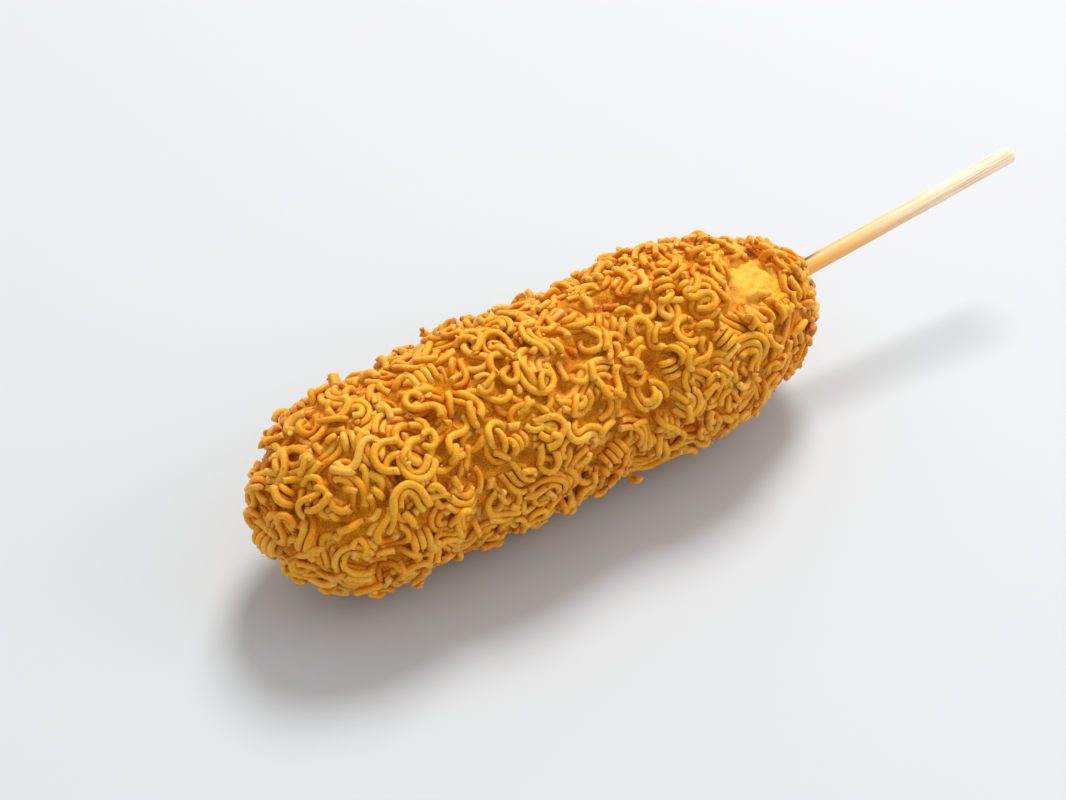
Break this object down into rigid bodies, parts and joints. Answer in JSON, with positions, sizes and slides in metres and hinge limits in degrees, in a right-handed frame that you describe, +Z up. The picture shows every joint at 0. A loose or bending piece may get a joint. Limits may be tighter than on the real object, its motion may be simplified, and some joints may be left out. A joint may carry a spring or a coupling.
{
  "type": "corn dog",
  "caption": "Fried corn dog rolled in broken curly noodles, lying on its side on a small flat spot, with a round wooden stick leaving one end.",
  "frame": {"origin": "centre of the small flat spot that the body rests on, under the middle of the noodle-coated body", "axes": "+Z up, +X along the body from its rounded nose towards the stick"},
  "size_m": [0.2405, 0.0561, 0.0552],
  "materials": {
    "fried_noodles": "deep-fried instant noodles and batter, golden brown, slightly oily satin, darker and rougher in the hollows",
    "stick_wood": "plain pale bare wood with a fine straight grain, darker and oil-stained where it leaves the food"
  },
  "bodies": {
    "root": {"noodle_coated_body": "fried_noodles", "stick": "stick_wood"}
  },
  "joints": []
}
